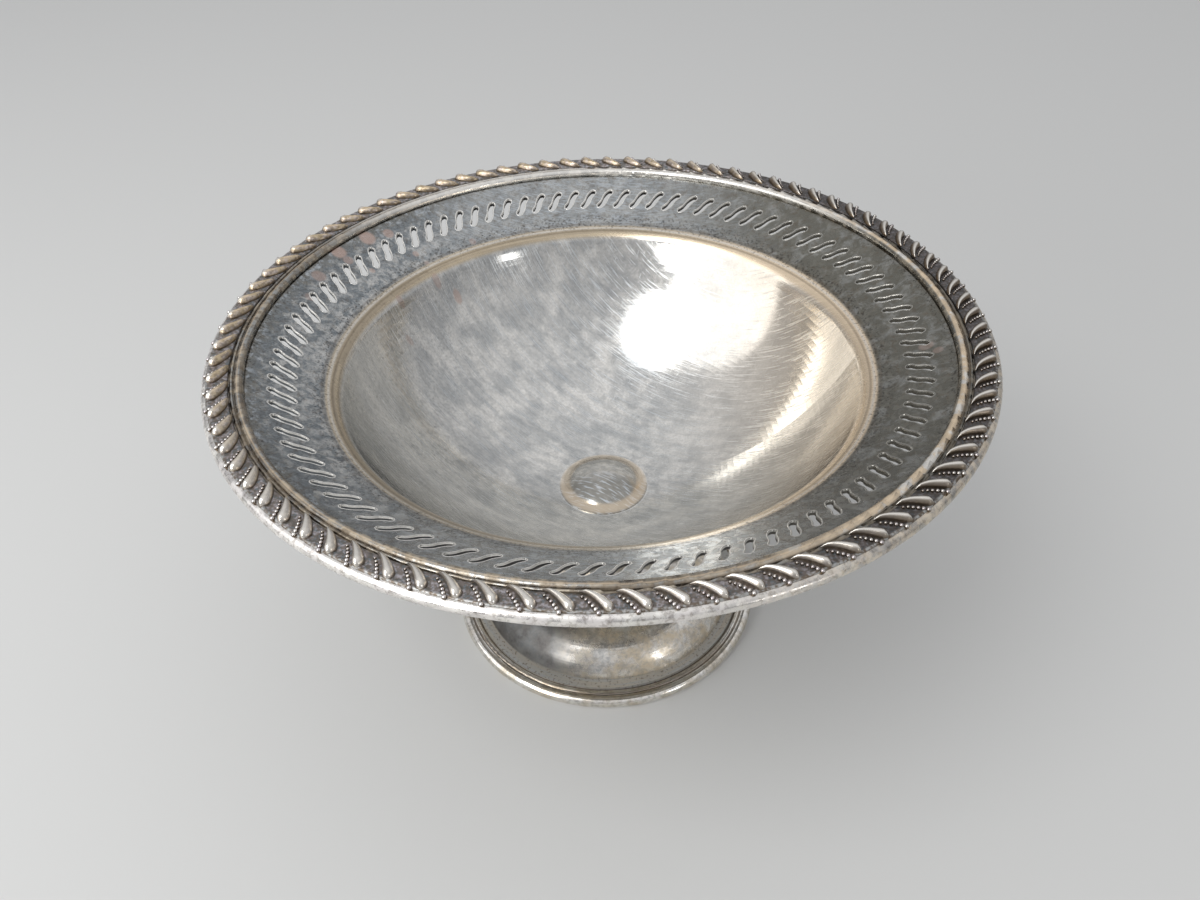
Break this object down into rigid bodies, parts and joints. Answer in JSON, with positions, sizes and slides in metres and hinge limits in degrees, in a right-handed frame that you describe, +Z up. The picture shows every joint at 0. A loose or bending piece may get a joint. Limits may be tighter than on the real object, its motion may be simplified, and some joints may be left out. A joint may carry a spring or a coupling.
{
  "type": "footed compote bowl",
  "caption": "Low footed compote bowl with a deep round well, a sloping brim pierced with S-shaped slots, a gadroon and bead border and a spread weighted foot.",
  "frame": {"origin": "middle of the face that the foot ring rests on", "axes": "+Z up along the bowl's axis, towards its open mouth"},
  "size_m": [0.1524, 0.1524, 0.0811],
  "materials": {
    "tarnished_silver_bowl": "spun silver, lightly tarnished and clouded",
    "silver_border": "cast silver with darkened recesses",
    "silver_cap": "polished silver, worn",
    "tarnished_silver_foot": "spun silver, tarnished",
    "silver_foot_ring": "polished silver, tarnished",
    "silver_collar": "turned silver",
    "steel_fasteners": "zinc plated",
    "cast_filler": "cast plaster cement",
    "felt_pad": "pressed felt"
  },
  "bodies": {
    "root": {"bowl": "tarnished_silver_bowl", "rim_wire": "silver_border", "gadroon_strip": "silver_border", "centre_cap": "silver_cap", "head_washer": "steel_fasteners", "tie_bolt": "steel_fasteners", "stem_collar": "silver_collar", "foot_shell": "tarnished_silver_foot", "foot_ring": "silver_foot_ring", "foot_filler": "cast_filler", "nut_plate": "steel_fasteners", "tie_nut": "steel_fasteners", "base_pad": "felt_pad"}
  },
  "joints": []
}
